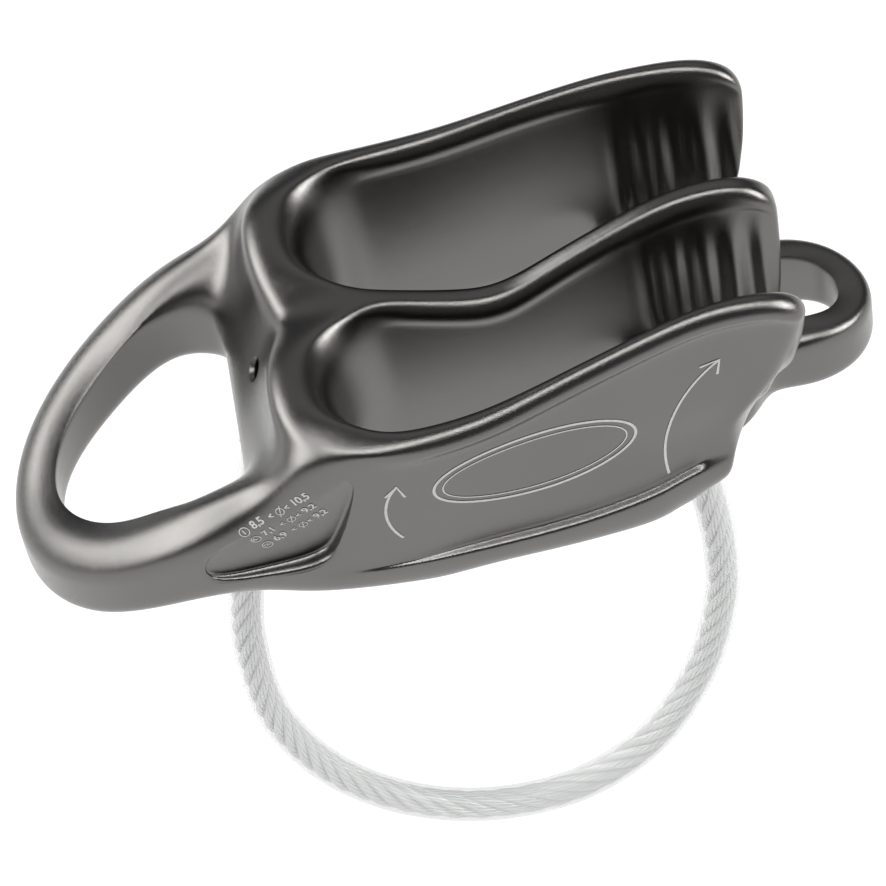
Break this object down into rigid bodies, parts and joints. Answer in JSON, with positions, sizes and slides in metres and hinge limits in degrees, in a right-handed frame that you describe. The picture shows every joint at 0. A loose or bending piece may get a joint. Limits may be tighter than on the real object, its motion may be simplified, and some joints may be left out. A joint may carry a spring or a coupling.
{
  "type": "guide mode belay device",
  "caption": "Forged alloy belay tube with twin rope slots and V grooves, a big anchor ring, a small release eye and a coated wire keeper loop.",
  "frame": {"origin": "middle of the large anchor ring's hole", "axes": "+X runs from the anchor ring to the release eye, +Y across the two rope slots, +Z out of the slots' open side; the keeper loop hangs towards -Z"},
  "size_m": [0.099, 0.0458, 0.109],
  "materials": {
    "anodised_alloy": "satin dark grey anodised",
    "rope_steel": "bright twisted wire",
    "clear_plastic": "clear extruded coating",
    "sleeve_alloy": "plain swaged"
  },
  "bodies": {
    "device": {"forged_body": "anodised_alloy", "anchor_end_sleeve": "sleeve_alloy", "brake_end_sleeve": "sleeve_alloy", "anchor_rope_end": "rope_steel", "brake_rope_end": "rope_steel"},
    "keeper": {"keeper_rope": "rope_steel", "keeper_coating": "clear_plastic"}
  },
  "joints": [
    {"name": "keeper_swing", "type": "hinge", "parent": "device", "child": "keeper", "pos_m": [0.0114, 0, -0.0036], "axis": [0.9998, 0, 0.0205], "range_deg": [-25, 25], "stiffness_Nm_per_rad": 0.02}
  ]
}
